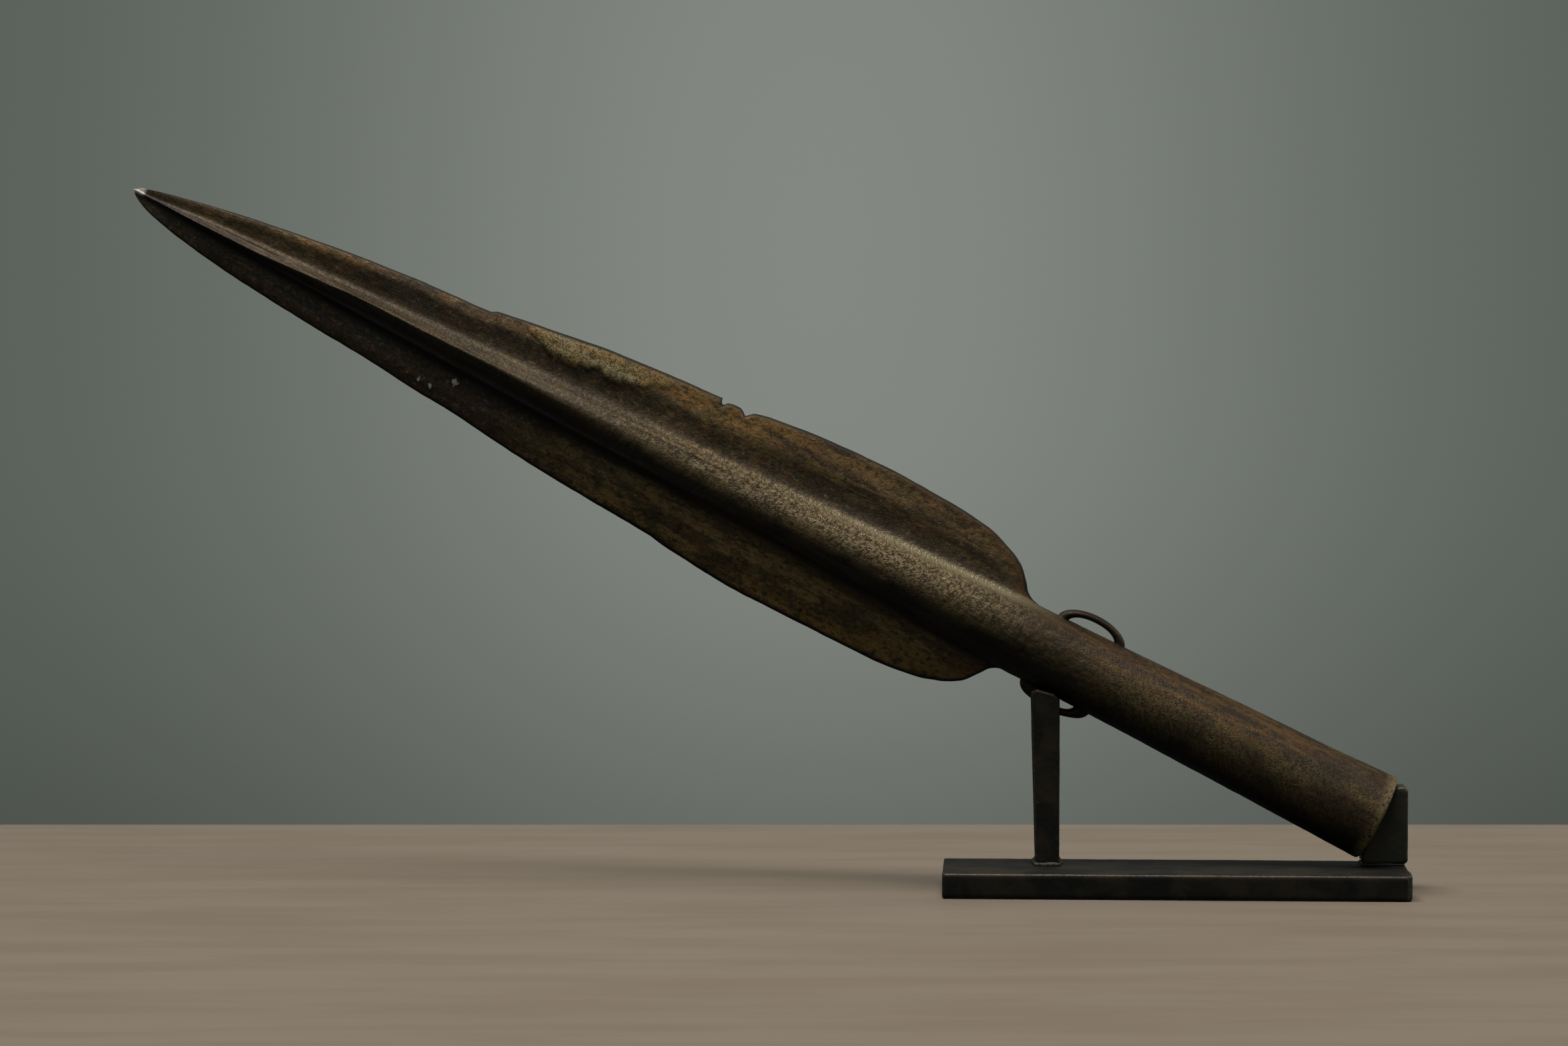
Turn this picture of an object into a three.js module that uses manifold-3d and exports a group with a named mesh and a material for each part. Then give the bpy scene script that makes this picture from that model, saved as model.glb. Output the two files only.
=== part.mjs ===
// A socketed, side-looped, leaf-shaped bronze spearhead lying tip-up on its small steel display stand.
// Millimetres, +Z up. The origin is the centre of the base bar's underside. +X runs along the bar towards
// the socket mouth, +Y runs towards the back, and the spearhead's own plane is parallel to XZ.

import * as THREE from 'three';
import { mergeVertices } from 'three/addons/utils/BufferGeometryUtils.js';
import Module from 'manifold-3d';

const wasm = await Module();
wasm.setup();

// ---- Driving dimensions -------------------------------------------------------------------------------

// Spearhead, measured along its axis from the tip.
const SPEAR_LENGTH = 328.5;
const SHOULDER_END = 233.5;
const NECK_RADIUS = 8.75;
const MOUTH_RADIUS = 10.5;
const RIDGE_END = 120;
const RIDGE_FADE = 70;
const TIP_RADIUS = 0.5;
const RIDGE_LIFT = 0.9;
const RIDGE_LIFT_LENGTH = 14;
const RIDGE_POWER = 0.7;
const SOCKET_FLARE_POWER = 1.5;

// Leaf outline: [distance from the tip, width above the axis, width below the axis], joined by a curve.
const LEAF_OUTLINE = [
  [0.6, 0.6, 0.8], [8, 2.6, 3.8], [31, 6.8, 7.8], [56, 9.9, 9.9], [82, 11.9, 12.3], [110, 15.6, 15.3],
  [150, 18.8, 18.6], [188, 21.4, 20.4], [210, 20.6, 20.2], [222, 18.1, 17.8], [228.6, 14.5, 14.2],
  [231.8, 10.4, 10], [239, 8, 8],
];
const OUTLINE_STEPS = 48;

// Wings: half thicknesses at the edge, at the ridge where the edge bevel starts, and beside the midrib.
const EDGE_HALF = 0.22;
const BEVEL_HALF = 1.3;
const ROOT_HALF = 1.05;
const BEVEL_WIDTH = 7;
const BEVEL_SHARE = 0.42;
const ROOT_SHARE_OF_MIDRIB = 0.55;
const ROOT_SHARE_OF_WING = 0.5;
const SLIM_FROM = -10;
const SLIM_TO = 60;

// Hollow of the socket, which runs on into the midrib.
const SOCKET_WALL = 1.9;
const HOLLOW_START = 128;
const HOLLOW_END_RADIUS = 1.8;
const HOLLOW_END_ROUNDING = [[0.6, 0.6], [2, 1]]; // [how far in, share of the end's radius]
const MOUTH_OVERRUN = 3;

// Side loops, one on each edge of the socket: where they spring and land, and how far out they reach.
const UPPER_LOOP = { from: 241.5, to: 257.1, reach: 12.6, crest: 0.55 };
const LOWER_LOOP = { from: 239.6, to: 255.8, reach: 12.4, crest: 0.68 };
const STRAP_THICKNESS = 1.75;
const STRAP_WIDTH = 3.4;
const STRAP_SINK = 0.8;
const HAUNCH_HEIGHT = 0.82;
const HAUNCH_PLACE = 0.35;

// Stand: flat bar base, forked post, and the wedge bracket that the socket mouth leans on.
const BASE_LENGTH = 108;
const BASE_DEPTH = 30;
const BASE_THICKNESS = 6;
const POST_RIGHT_X = -26.8;
const POST_FOOT_WIDTH = 5.7;
const POST_TOP_WIDTH = 6.8;
const POST_DEPTH = 13;
const POST_TOP_Z = 47.6;
const POST_RIGHT_DROP = 2.6;
const POST_CORNER = 1.2;
const POST_LEFT_DROP = 1;
const CRADLE_OVERRUN = 20;
const FORK_SLOT_WIDTH = 4.2;
const FORK_SLOT_FLOOR_Z = 40;
const BRACKET_DEPTH = 8;
const BRACKET_SETBACK = 2;
const BRACKET_LEFT_X = 43.9;
const BRACKET_RIGHT_X = 54.7;
const BRACKET_TOP_Z = 24.6;
const BAR_CHAMFER = 0.5;

// How the spearhead lies on the stand.
const SPEAR_TILT = THREE.MathUtils.degToRad(26.72);
const MOUTH_X = 47.6;
const MOUTH_Z = 17.05;
const SPEAR_PLANE_Y = 6.5;
const TOUCH_GAP = 0.3;

// Mesh fineness.
const ROUND_SIDES = 32;
const HOLLOW_SIDES = 24;
const STRAP_SIDES = 10;
const STRAP_STEPS = 16;
const FIRST_STATION = 3;
const RIDGE_STATION_STEP = 9;
const SOCKET_STATION_STEP = 13;
const CRADLE_SHARES = [0, 0.25, 0.5, 0.75, 1];

// ---- Finishes -----------------------------------------------------------------------------------------

const bronze = new THREE.MeshStandardMaterial({ color: 0x3b3120, roughness: 0.55, metalness: 0.75 });
const blackSteel = new THREE.MeshStandardMaterial({ color: 0x26241f, roughness: 0.5, metalness: 0.6 });

// ---- Solids: between three.js geometry and manifold-3d --------------------------------------------------

// Closed geometry as a manifold-3d solid: vertices merged by position, slivers with no area dropped.
function toSolid(geometry) {
  const bare = geometry.clone();
  bare.deleteAttribute('normal');
  bare.deleteAttribute('uv');
  const merged = mergeVertices(bare, 1e-4);
  const corners = merged.index.array;
  const kept = [];
  for (let i = 0; i < corners.length; i += 3) {
    const [a, b, c] = corners.slice(i, i + 3);
    if (a !== b && b !== c && c !== a) kept.push(a, b, c);
  }
  const mesh = new wasm.Mesh({
    numProp: 3,
    vertProperties: new Float32Array(merged.attributes.position.array),
    triVerts: new Uint32Array(kept),
  });
  return new wasm.Manifold(mesh);
}

// Solid back to a flat-shaded BufferGeometry.
function toGeometry(solid) {
  const mesh = solid.getMesh();
  const geometry = new THREE.BufferGeometry();
  geometry.setAttribute('position', new THREE.BufferAttribute(new Float32Array(mesh.vertProperties), 3));
  geometry.setIndex(new THREE.BufferAttribute(new Uint32Array(mesh.triVerts), 1));
  geometry.computeVertexNormals();
  return geometry;
}

// Skin stretched over a row of closed rings of equal point count, with a flat fan on each end.
function loft(rings) {
  const count = rings[0].length;
  const positions = rings.flat().flatMap((point) => point.toArray());
  const faces = [];
  for (let ring = 0; ring + 1 < rings.length; ring += 1) {
    for (let i = 0; i < count; i += 1) {
      const here = ring * count + i;
      const next = ring * count + ((i + 1) % count);
      faces.push(here, next + count, next);
      faces.push(here, here + count, next + count);
    }
  }
  const last = (rings.length - 1) * count;
  for (let i = 1; i + 1 < count; i += 1) {
    faces.push(0, i, i + 1);
    faces.push(last, last + i + 1, last + i);
  }
  const geometry = new THREE.BufferGeometry();
  geometry.setAttribute('position', new THREE.Float32BufferAttribute(positions, 3));
  geometry.setIndex(faces);
  return geometry;
}

// Solid of revolution about the spear's axis from [distance from the tip, radius] pairs, starting and
// ending on the axis.
function turned(profile, sides) {
  const points = profile.map(([along, radius]) => new THREE.Vector2(radius, along - SPEAR_LENGTH));
  return new THREE.LatheGeometry(points, sides).rotateZ(-Math.PI / 2);
}

// Outline in the XZ plane, carried through a depth along Y about its middle plane, edges chamfered.
function bar(outline, depth, middleY) {
  const shape = new THREE.Shape(outline.map(([x, z]) => new THREE.Vector2(x, z)));
  const options = {
    depth: depth - 2 * BAR_CHAMFER,
    bevelEnabled: true,
    bevelSize: BAR_CHAMFER,
    bevelOffset: -BAR_CHAMFER,
    bevelThickness: BAR_CHAMFER,
    bevelSegments: 1,
  };
  const geometry = new THREE.ExtrudeGeometry(shape, options);
  return geometry.rotateX(Math.PI / 2).translate(0, middleY + depth / 2 - BAR_CHAMFER, 0);
}

// ---- Spearhead, in its own frame ------------------------------------------------------------------------
// Local X runs along the axis and is zero at the mouth, local Y is the thickness, local Z the width.

const outlineCurve = new THREE.CatmullRomCurve3(LEAF_OUTLINE.map((stop) => new THREE.Vector3(...stop)));

// Outer radius of the midrib and socket: a straight cone up to the neck, then a gentle flare to the mouth.
function midribRadius(along) {
  if (along < SHOULDER_END) return NECK_RADIUS * along / SHOULDER_END;
  const flare = (along - SHOULDER_END) / (SPEAR_LENGTH - SHOULDER_END);
  return NECK_RADIUS + (MOUTH_RADIUS - NECK_RADIUS) * flare ** SOCKET_FLARE_POWER;
}

// How far the midrib's round section is drawn out to a sharp ridge: 1 near the tip, 0 past mid blade.
function ridgeSharpness(along) {
  return 1 - THREE.MathUtils.smoothstep(along, RIDGE_END - RIDGE_FADE, RIDGE_END);
}

function midribRing(along) {
  const radius = Math.max(midribRadius(along), TIP_RADIUS);
  const power = 1 + RIDGE_POWER * ridgeSharpness(along);
  const ring = [];
  for (let i = 0; i < ROUND_SIDES; i += 1) {
    const angle = 2 * Math.PI * i / ROUND_SIDES;
    const side = Math.cos(angle);
    const face = Math.sin(angle);
    const width = radius * Math.sign(side) * Math.abs(side) ** power;
    const height = (radius + ridgeLift(along)) * Math.sign(face) * Math.abs(face) ** power;
    ring.push(new THREE.Vector3(along - SPEAR_LENGTH, height, width));
  }
  return ring;
}

// Extra height of the sharp crest, which lets the ridge stand clear of the wings close to the tip.
function ridgeLift(along) {
  return RIDGE_LIFT * ridgeSharpness(along) * THREE.MathUtils.smoothstep(along, 0, RIDGE_LIFT_LENGTH);
}

function midribAndSocket() {
  const stations = [0];
  for (let along = FIRST_STATION; along < RIDGE_END; along += RIDGE_STATION_STEP) stations.push(along);
  for (let along = RIDGE_END; along < SPEAR_LENGTH; along += SOCKET_STATION_STEP) stations.push(along);
  stations.push(SPEAR_LENGTH);
  return toSolid(loft(stations.map(midribRing)));
}

// Wing profile from its edge in to the midrib: the edge, the ridge of the bevel, and the hollow root.
function wingProfile(along, edge) {
  const bevel = Math.min(BEVEL_WIDTH, BEVEL_SHARE * edge);
  const slim = THREE.MathUtils.smoothstep(along, SLIM_FROM, SLIM_TO);
  const root = Math.min(ROOT_SHARE_OF_MIDRIB * midribRadius(along), ROOT_SHARE_OF_WING * (edge - bevel));
  return [
    [edge, EDGE_HALF],
    [edge - bevel, EDGE_HALF + (BEVEL_HALF - EDGE_HALF) * slim],
    [root, EDGE_HALF + (ROOT_HALF - EDGE_HALF) * slim],
  ];
}

// One cross-section of both wings, walked once round from the upper edge.
function wingRing(along, upper, lower) {
  const down = wingProfile(along, lower).map(([width, height]) => [-width, height]).reverse();
  const across = [...wingProfile(along, upper), ...down];
  const around = [...across, ...across.map(([width, height]) => [width, -height]).reverse()];
  return around.map(([width, height]) => new THREE.Vector3(along - SPEAR_LENGTH, height, width));
}

function wings() {
  const stations = outlineCurve.getPoints(OUTLINE_STEPS);
  return toSolid(loft(stations.map(({ x, y, z }) => wingRing(x, y, z))));
}

// A strap bent in the spear's plane: it springs from the socket wall, arches over and lands again. Its
// crest is the share of the span at which it stands furthest out.
function sideLoop({ from, to, reach, crest }, side) {
  const span = to - from;
  const foot = NECK_RADIUS - STRAP_SINK;
  const crown = reach - STRAP_THICKNESS / 2;
  const haunch = THREE.MathUtils.lerp(foot, crown, HAUNCH_HEIGHT);
  const rising = HAUNCH_PLACE * crest;
  const falling = THREE.MathUtils.lerp(1, crest, HAUNCH_PLACE);
  const stops = [[0, foot], [rising, haunch], [crest, crown], [falling, haunch], [1, foot]];
  const path = new THREE.CatmullRomCurve3(
    stops.map(([share, out]) => new THREE.Vector3(from + share * span - SPEAR_LENGTH, 0, side * out)),
  );
  const section = new THREE.Shape();
  section.absellipse(0, 0, STRAP_WIDTH / 2, STRAP_THICKNESS / 2, 0, 2 * Math.PI);
  const strap = { extrudePath: path, steps: STRAP_STEPS, curveSegments: STRAP_SIDES };
  return toSolid(new THREE.ExtrudeGeometry(section, strap));
}

// The hollow that takes the shaft: open at the mouth, tapering, with a rounded blind end in the midrib.
function hollow() {
  const neckBore = NECK_RADIUS - SOCKET_WALL;
  const mouthBore = MOUTH_RADIUS - SOCKET_WALL;
  const halfway = (SHOULDER_END + SPEAR_LENGTH) / 2;
  const profile = [
    [HOLLOW_START, 0],
    ...HOLLOW_END_ROUNDING.map(([inset, share]) => [HOLLOW_START + inset, share * HOLLOW_END_RADIUS]),
    [SHOULDER_END, neckBore],
    [halfway, midribRadius(halfway) - SOCKET_WALL],
    [SPEAR_LENGTH, mouthBore],
    [SPEAR_LENGTH + MOUTH_OVERRUN, mouthBore],
    [SPEAR_LENGTH + MOUTH_OVERRUN, 0],
  ];
  return toSolid(turned(profile, HOLLOW_SIDES));
}

function spearhead() {
  const solid = midribAndSocket()
    .add(wings())
    .add(sideLoop(UPPER_LOOP, 1))
    .add(sideLoop(LOWER_LOOP, -1))
    .subtract(hollow());
  return toGeometry(solid);
}

// ---- Stand ----------------------------------------------------------------------------------------------

const placement = new THREE.Matrix4()
  .makeRotationY(SPEAR_TILT)
  .setPosition(MOUTH_X, SPEAR_PLANE_Y, MOUTH_Z);

function baseBar() {
  const half = BASE_LENGTH / 2;
  return bar([[-half, 0], [half, 0], [half, BASE_THICKNESS], [-half, BASE_THICKNESS]], BASE_DEPTH, 0);
}

// Forked post: its top is scooped to cradle the socket, and a slot between the two tines clears the loop.
function neckPost() {
  const foot = BASE_THICKNESS + TOUCH_GAP;
  const outline = [
    [POST_RIGHT_X - POST_FOOT_WIDTH, foot],
    [POST_RIGHT_X, foot],
    [POST_RIGHT_X, POST_TOP_Z - POST_RIGHT_DROP],
    [POST_RIGHT_X - POST_CORNER, POST_TOP_Z - POST_CORNER],
    [POST_RIGHT_X - POST_TOP_WIDTH + POST_CORNER, POST_TOP_Z],
    [POST_RIGHT_X - POST_TOP_WIDTH, POST_TOP_Z - POST_LEFT_DROP],
  ];
  const reachOfCut = LOWER_LOOP.to + CRADLE_OVERRUN;
  const skin = CRADLE_SHARES.map((share) => {
    const along = THREE.MathUtils.lerp(SHOULDER_END, reachOfCut, share);
    return [along, midribRadius(along) + TOUCH_GAP];
  });
  const cradle = turned([[SHOULDER_END, 0], ...skin, [reachOfCut, 0]], 2 * ROUND_SIDES);
  const slotHeight = 2 * (POST_TOP_Z - FORK_SLOT_FLOOR_Z);
  const slot = new THREE.BoxGeometry(4 * POST_TOP_WIDTH, FORK_SLOT_WIDTH, slotHeight)
    .translate(POST_RIGHT_X, SPEAR_PLANE_Y, FORK_SLOT_FLOOR_Z + slotHeight / 2);
  const blank = toSolid(bar(outline, POST_DEPTH, SPEAR_PLANE_Y));
  return toGeometry(blank.subtract(toSolid(cradle.applyMatrix4(placement))).subtract(toSolid(slot)));
}

// Wedge bracket: its leaning edge is parallel to the mouth plane, a touch away from the rim.
function mouthBracket() {
  const foot = BASE_THICKNESS + TOUCH_GAP;
  const lean = Math.tan(SPEAR_TILT);
  const leaningX = (z) => MOUTH_X + TOUCH_GAP / Math.cos(SPEAR_TILT) + (z - MOUTH_Z) * lean;
  const cornerZ = MOUTH_Z + (BRACKET_LEFT_X - leaningX(MOUTH_Z)) / lean;
  const outline = [
    [BRACKET_LEFT_X, foot],
    [BRACKET_RIGHT_X, foot],
    [BRACKET_RIGHT_X, BRACKET_TOP_Z],
    [leaningX(BRACKET_TOP_Z), BRACKET_TOP_Z],
    [BRACKET_LEFT_X, cornerZ],
  ];
  return bar(outline, BRACKET_DEPTH, SPEAR_PLANE_Y + BRACKET_SETBACK);
}

// ---- Assembly -------------------------------------------------------------------------------------------

function piece(name, geometry, material) {
  const mesh = new THREE.Mesh(geometry, material);
  mesh.name = name;
  return mesh;
}

const part = new THREE.Group();

const spearMount = new THREE.Group();
spearMount.applyMatrix4(placement);
spearMount.add(piece('spearhead', spearhead(), bronze));
part.add(spearMount);

part.add(piece('base_bar', baseBar(), blackSteel));
part.add(piece('neck_post', neckPost(), blackSteel));
part.add(piece('mouth_bracket', mouthBracket(), blackSteel));

export default part;
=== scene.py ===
"""A leaf-shaped, side-looped bronze spearhead on its small steel stand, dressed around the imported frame."""

import logging
import math
from dataclasses import dataclass, field
from enum import IntEnum
from typing import Sequence, Union

import bmesh
import bpy
import numpy as np
from mathutils import Euler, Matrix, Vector


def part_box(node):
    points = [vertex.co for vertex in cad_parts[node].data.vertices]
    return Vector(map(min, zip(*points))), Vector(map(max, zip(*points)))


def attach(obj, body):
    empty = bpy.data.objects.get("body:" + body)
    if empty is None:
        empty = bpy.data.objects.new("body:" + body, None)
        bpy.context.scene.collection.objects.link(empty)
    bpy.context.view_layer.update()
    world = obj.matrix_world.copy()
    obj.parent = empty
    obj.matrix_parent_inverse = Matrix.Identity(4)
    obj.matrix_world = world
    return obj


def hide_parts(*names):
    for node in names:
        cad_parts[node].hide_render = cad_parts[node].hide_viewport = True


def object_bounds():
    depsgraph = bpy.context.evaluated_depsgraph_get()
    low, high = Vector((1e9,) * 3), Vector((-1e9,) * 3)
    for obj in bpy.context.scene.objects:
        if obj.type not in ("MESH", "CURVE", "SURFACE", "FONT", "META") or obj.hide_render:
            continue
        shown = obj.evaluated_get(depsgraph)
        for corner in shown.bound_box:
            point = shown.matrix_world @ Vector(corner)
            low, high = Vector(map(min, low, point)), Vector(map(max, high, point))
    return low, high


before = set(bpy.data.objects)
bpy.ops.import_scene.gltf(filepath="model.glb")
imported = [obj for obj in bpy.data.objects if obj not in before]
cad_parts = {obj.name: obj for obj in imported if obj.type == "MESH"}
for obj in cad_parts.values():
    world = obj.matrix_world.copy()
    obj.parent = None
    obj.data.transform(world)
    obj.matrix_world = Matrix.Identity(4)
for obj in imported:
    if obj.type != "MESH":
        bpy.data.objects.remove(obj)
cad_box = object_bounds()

LOG = logging.getLogger("spearhead")
MM = 0.001
BODY = "root"
NOISE_ROUGHNESS = 0.55

Colour = tuple[float, float, float]
Knots = Sequence[tuple[float, float]]


class Side(IntEnum):
    """The two wings of the blade, by the sign of their places across it."""

    UPPER = 1
    LOWER = -1


# ---- Numbers and noise ------------------------------------------------------------------------------------


def rgb(red: float, green: float, blue: float) -> Colour:
    """A display colour from 0 to 255 a channel, as the linear colour that shaders take."""
    shares = (red / 255, green / 255, blue / 255)
    return tuple(s / 12.92 if s <= 0.04045 else ((s + 0.055) / 1.055) ** 2.4 for s in shares)


def rise(value: np.ndarray, low: float, high: float) -> np.ndarray:
    """A smooth step from 0 at low to 1 at high."""
    share = np.clip((value - low) / (high - low), 0.0, 1.0)
    return share * share * (3.0 - 2.0 * share)


def bump_at(value: np.ndarray, centre: float, reach: float) -> np.ndarray:
    """A smooth hump of height 1 at centre that is gone at reach on both sides."""
    return 1.0 - rise(np.abs(value - centre), 0.0, reach)


def smooth_max(first: np.ndarray, second: np.ndarray, fillet: float) -> np.ndarray:
    """The larger of two heights, with a fillet where they meet."""
    share = np.clip(0.5 + 0.5 * (first - second) / fillet, 0.0, 1.0)
    return second + (first - second) * share + fillet * share * (1.0 - share)


def through(knots: Knots, at: np.ndarray) -> np.ndarray:
    """A smooth line through knots that never overshoots between them.

    Args:
        knots: (place, value) pairs with rising places.
        at: The places to read.

    Returns:
        The value at each place; it is constant before the first knot and after the last one.
    """
    place, value = (np.array(column, float) for column in zip(*knots))
    step = np.diff(place)
    slope = np.diff(value) / step
    tangent = np.zeros(len(place))
    tangent[0], tangent[-1] = slope[0], slope[-1]
    before, after = slope[:-1], slope[1:]
    same_way = before * after > 0
    tangent[1:-1][same_way] = 2 * before[same_way] * after[same_way] / (before + after)[same_way]
    at = np.clip(at, place[0], place[-1])
    index = np.clip(np.searchsorted(place, at, side="right") - 1, 0, len(step) - 1)
    share = (at - place[index]) / step[index]
    square, cube = share**2, share**3
    return (
        (2 * cube - 3 * square + 1) * value[index]
        + (cube - 2 * square + share) * step[index] * tangent[index]
        + (3 * square - 2 * cube) * value[index + 1]
        + (cube - square) * step[index] * tangent[index + 1]
    )


class Grain:
    """Seeded smooth noise in space, from -1 to 1, for relief in metal."""

    CELLS = 48

    def __init__(self, seed: int) -> None:
        """Fills the lattice that the noise is read from."""
        self.lattice = np.random.default_rng(seed).uniform(-1.0, 1.0, (self.CELLS,) * 3)

    def at(self, points: np.ndarray, size: Union[float, Sequence[float]]) -> np.ndarray:
        """Reads the noise.

        Args:
            points: Places, with x, y and z last.
            size: The size of one lump, or one for each axis.

        Returns:
            One value for each place.
        """
        scaled = points / np.asarray(size, float)
        low = np.floor(scaled).astype(int)
        share = scaled - low
        share = share * share * (3.0 - 2.0 * share)
        total = np.zeros(scaled.shape[:-1])
        for corner in np.ndindex(2, 2, 2):
            cell = (low + corner) % self.CELLS
            weight = np.prod(np.where(np.array(corner) == 1, share, 1.0 - share), axis=-1)
            total += weight * self.lattice[cell[..., 0], cell[..., 1], cell[..., 2]]
        return total

    def layered(self, points: np.ndarray, size: float, layers: int = 3) -> np.ndarray:
        """Noise with finer and weaker layers added, each half the size of the one before."""
        total = sum(self.at(points + 7.3 * layer, size / 2**layer) / 2**layer for layer in range(layers))
        return total / sum(1 / 2**layer for layer in range(layers))


# ---- Meshes -----------------------------------------------------------------------------------------------


def linked(name: str, data: bpy.types.ID) -> bpy.types.Object:
    """An object in the scene that shows a mesh, a light or a camera."""
    made = bpy.data.objects.new(name, data)
    bpy.context.scene.collection.objects.link(made)
    return made


def settled(name: str, shape: bmesh.types.BMesh) -> bpy.types.Mesh:
    """Turns a shape that is done with into a mesh."""
    mesh = bpy.data.meshes.new(name)
    shape.to_mesh(mesh)
    shape.free()
    return mesh


def round_turn(count: int) -> np.ndarray:
    """Angles of count points round a circle."""
    return 2 * np.pi * np.arange(count) / count


def mesh_object(name: str, points: np.ndarray, faces: Sequence[Sequence[int]]) -> bpy.types.Object:
    """Makes a smooth-shaded closed mesh with its faces turned outwards.

    Args:
        name: The piece's name.
        points: Vertices, in metres.
        faces: Vertex numbers of each face.

    Returns:
        The linked object.
    """
    mesh = bpy.data.meshes.new(name)
    mesh.from_pydata(points.tolist(), [], [list(face) for face in faces])
    shell = bmesh.new()
    shell.from_mesh(mesh)
    bmesh.ops.recalc_face_normals(shell, faces=shell.faces)
    shell.to_mesh(mesh)
    shell.free()
    mesh.shade_smooth()
    return linked(name, mesh)


def band_faces(rows: int, columns: int, joined: bool = False) -> list[tuple[int, ...]]:
    """Quads between rings of vertices; joined also links the last ring to the first one."""
    faces = []
    for row in range(rows if joined else rows - 1):
        here, there = row * columns, (row + 1) % rows * columns
        for column in range(columns):
            after = (column + 1) % columns
            faces.append((here + column, here + after, there + after, there + column))
    return faces


def tube_faces(rows: int, columns: int) -> list[tuple[int, ...]]:
    """Quads of a tube of rings, with a fan at each end around two extra vertices that follow the rings."""
    faces = band_faces(rows, columns)
    first, last = rows * columns, rows * columns + 1
    end = (rows - 1) * columns
    for column in range(columns):
        after = (column + 1) % columns
        faces.append((first, after, column))
        faces.append((last, end + column, end + after))
    return faces


def read_points(mesh: bpy.types.Mesh) -> np.ndarray:
    """A mesh's vertices as rows of x, y and z."""
    flat = np.zeros(len(mesh.vertices) * 3)
    mesh.vertices.foreach_get("co", flat)
    return flat.reshape(-1, 3)


def read_normals(mesh: bpy.types.Mesh) -> np.ndarray:
    """A mesh's vertex normals as rows of x, y and z."""
    return np.array([vertex.normal[:] for vertex in mesh.vertices])


def write_points(mesh: bpy.types.Mesh, points: np.ndarray) -> None:
    """Puts a mesh's vertices back after they were moved."""
    mesh.vertices.foreach_set("co", points.astype(np.float32).ravel())
    mesh.update()


def keep_value(mesh: bpy.types.Mesh, name: str, values: np.ndarray) -> None:
    """Stores one number, or one vector, for each vertex, under a name that a finish can read."""
    if values.ndim == 1:
        layer = mesh.attributes.new(name, "FLOAT", "POINT")
        layer.data.foreach_set("value", values.astype(np.float32))
    else:
        layer = mesh.attributes.new(name, "FLOAT_VECTOR", "POINT")
        layer.data.foreach_set("vector", values.astype(np.float32).ravel())


def apply_modifiers(piece: bpy.types.Object) -> None:
    """Turns a piece's modifiers into its own mesh."""
    shaped = bpy.data.meshes.new_from_object(piece.evaluated_get(bpy.context.evaluated_depsgraph_get()))
    piece.modifiers.clear()
    piece.data = shaped


# ---- Shader maths -----------------------------------------------------------------------------------------


class Wire:
    """A shader value that takes part in Python arithmetic."""

    def __init__(self, graph: "Graph", socket: bpy.types.NodeSocket) -> None:
        """Wraps one output socket of a node in graph."""
        self.graph = graph
        self.socket = socket

    def __add__(self, other: "Value") -> "Wire":
        """Sum."""
        return self.graph.math("ADD", self, other)

    def __sub__(self, other: "Value") -> "Wire":
        """Difference."""
        return self.graph.math("SUBTRACT", self, other)

    def __rsub__(self, other: "Value") -> "Wire":
        """Difference from a number."""
        return self.graph.math("SUBTRACT", other, self)

    def __mul__(self, other: "Value") -> "Wire":
        """Product."""
        return self.graph.math("MULTIPLY", self, other)

    def __truediv__(self, other: "Value") -> "Wire":
        """Quotient."""
        return self.graph.math("DIVIDE", self, other)

    __radd__ = __add__
    __rmul__ = __mul__

    def either(self, other: "Value") -> "Wire":
        """The larger of two values."""
        return self.graph.math("MAXIMUM", self, other)

    def rise(self, low: float, high: float) -> "Wire":
        """A smooth step from 0 at low to 1 at high."""
        inputs = {"Value": self, "From Min": low, "From Max": high}
        return self.graph.node("ShaderNodeMapRange", {"interpolation_type": "SMOOTHSTEP"}, inputs)

    def hump(self, centre: float, reach: float) -> "Wire":
        """A smooth hump of height 1 at centre that is gone at reach on both sides."""
        return 1.0 - self.graph.math("ABSOLUTE", self - centre).rise(0.0, reach)


Value = Union[Wire, float]
Tint = Union[Wire, Colour]


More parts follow.
